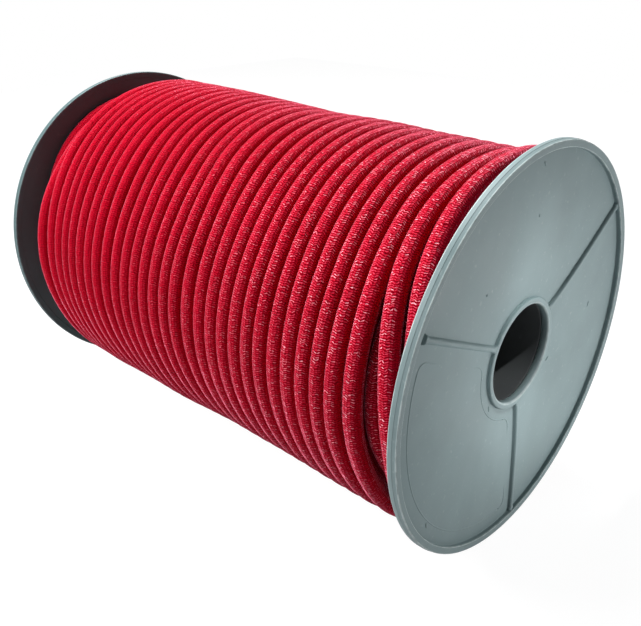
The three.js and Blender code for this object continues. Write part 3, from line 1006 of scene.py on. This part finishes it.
def sweep(name, strand, sides, end_rings=()):
    """A tube along a strand, closed at both ends, with its run and the way round it as its UVs."""
    round_angles = np.linspace(0, FULL_TURN, sides, endpoint=False)
    side, up = np.cos(round_angles), np.sin(round_angles)
    faces_near = strand.across[:, 0] > 0
    plus = np.where(faces_near, strand.to_near, strand.to_far)
    minus = np.where(faces_near, strand.to_far, strand.to_near)
    half = np.where(side[None, :] > 0, plus[:, None], minus[:, None])
    rings = list(
        strand.middle[:, None, :]
        + strand.across[:, None, :] * (half * side[None, :])[:, :, None]
        + strand.out[:, None, :] * (strand.tall[:, None] * up[None, :])[:, :, None]
    )
    runs = list(strand.run)
    last_section = rings[-1] - strand.middle[-1]
    for shrink, forward in end_rings:
        rings.append(strand.middle[-1] + strand.along[-1] * forward + last_section * shrink)
        runs.append(strand.run[-1] + forward)
    faces, uvs = ring_faces(len(rings), sides), []
    for here, there in zip(runs, runs[1:]):
        for k in range(sides):
            low, high = k / sides, (k + 1) / sides
            uvs += [(here, low), (there, low), (there, high), (here, high)]
    last = (len(rings) - 1) * sides
    faces.append(tuple(range(sides)))
    uvs += [(0.0, k / sides) for k in range(sides)]
    faces.append(tuple(last + k for k in reversed(range(sides))))
    uvs += [(runs[-1], k / sides) for k in reversed(range(sides))]
    return make_object(name, raise_axis(np.concatenate(rings)), faces, uvs=uvs)


def make_outer_turns(sheath):
    start = NEAR_ROUTE[0][0]
    count = round((TAIL_TURN - start) * OUTER_STEPS)
    turn = np.linspace(start, TAIL_TURN, count + 1)
    x, level = outer_route(turn), through(NEAR_LEVELS, turn)
    strand = Strand(turn, x, level, section_widths(x, level))
    piece = sweep("cord_outer_turns", strand, OUTER_SIDES, CUT_RINGS)
    add_piece(piece, "cord_sheath", sheath, "cord_outer_layer")
    return strand


def make_inner_turns(sheath):
    """Two layers under the outer one, wound to the far flange and back."""
    end = NEAR_ROUTE[0][0]
    far_turn = end - (INNER_NEAR_X - INNER_FAR_X) / INNER_PITCH
    start = far_turn - (INNER_LOWER_NEAR_X - INNER_FAR_X) / INNER_PITCH
    count = round((end - start) * INNER_STEPS)
    turn = np.linspace(start, end, count + 1)
    join = NEAR_ROUTE[0][1] * MM - INNER_NEAR_X
    x = INNER_FAR_X + np.abs(turn - far_turn) * INNER_PITCH + join * smoothstep(end - INNER_JOIN, end, turn)
    level = -2 + smoothstep(far_turn - INNER_CLIMB, far_turn + INNER_CLIMB, turn)
    strand = Strand(turn, x, level, (np.full(count + 1, CORD_RADIUS),) * 3)
    turns = sweep("cord_inner_turns", strand, INNER_SIDES)
    add_piece(turns, "cord_sheath", sheath, "cord_inner_layers")


def make_core(sheath):
    """The deeper layers, which nothing shows, as one closed body."""
    near_x, far_x = RIM_BACK - CORE_END_ROOM, CORE_END_ROOM - RIM_BACK
    collar_x = COLLAR_END - CORE_PLAY
    inner, collar = TUBE_RADIUS + CORE_PLAY, COLLAR_RADIUS + CORE_PLAY
    near_outer, far_outer = (wound_radius(x, math.pi / 2) - CORE_SINK for x in (near_x, far_x))
    outline = [
        (inner, -collar_x), (collar, -collar_x), (collar, far_x), (far_outer, far_x),
        (near_outer, near_x), (collar, near_x), (collar, collar_x), (inner, collar_x),
    ]
    core = revolve("cord_deep_layers", outline, CORE_COLUMNS)
    add_piece(core, "cord_sheath", sheath)


def make_rubber_end(strand, rubber):
    """The bundle of rubber strands that shows in the sheath's cut end."""
    middle, along = strand.middle[-1], strand.along[-1]
    across, out = strand.across[-1], strand.out[-1]
    random = np.random.default_rng(RUBBER_SEED)
    points, faces = [], []
    rows = int(BUNDLE_RADIUS / RUBBER_SPACING) + 1
    for row in range(-rows, rows + 1):
        for column in range(-rows, rows + 1):
            u = (column + 0.5 * (row % 2)) * RUBBER_SPACING
            v = row * RUBBER_SPACING * math.sin(math.pi / 3)
            if math.hypot(u, v) > BUNDLE_RADIUS - RUBBER_RADIUS:
                continue
            u += random.uniform(-RUBBER_STRAY, RUBBER_STRAY) * MM
            v += random.uniform(-RUBBER_STRAY, RUBBER_STRAY) * MM
            reach = RUBBER_REACH + random.uniform(*RUBBER_REACH_STRAY) * MM
            first = len(points)
            for forward, share in ((-RUBBER_SUNK, 1), (reach - RUBBER_BEVEL, 1), (reach, RUBBER_TIP_SHARE)):
                for angle in np.linspace(0, FULL_TURN, RUBBER_SIDES, endpoint=False):
                    place = middle + along * forward
                    place = place + across * (u + RUBBER_RADIUS * share * math.cos(angle))
                    place = place + out * (v + RUBBER_RADIUS * share * math.sin(angle))
                    points.append(place)
            faces += ring_faces(3, RUBBER_SIDES, first=first)
            faces.append(tuple(first + k for k in range(RUBBER_SIDES)))
            faces.append(tuple(first + 2 * RUBBER_SIDES + k for k in reversed(range(RUBBER_SIDES))))
    bundle = make_object("rubber_strands", raise_axis(np.array(points)), faces)
    add_piece(bundle, "cord_rubber", rubber, "rubber_core_end")


def main():
    bpy.context.scene.view_settings.view_transform = "Standard"
    make_camera()
    sheath, rubber = sheath_material(), rubber_material()
    pale = plastic_material("spool_plastic", PALE_TONES)
    # The far flange's plastic is painted darker, as painted shade
    far_shaded = plastic_material("spool_plastic_far_painted_shade", FAR_SHADE_TONES)
    # The tube's plastic is painted darker, as painted shade inside the bore
    tube = plastic_material("spool_plastic_tube_painted_shade", BORE_SHADE_TONES)
    strand = make_outer_turns(sheath)
    make_inner_turns(sheath)
    make_core(sheath)
    make_rubber_end(strand, rubber)
    make_flanges(pale, far_shaded)
    make_tube(tube)
    make_floor()
    make_world()
    make_lights()


main()
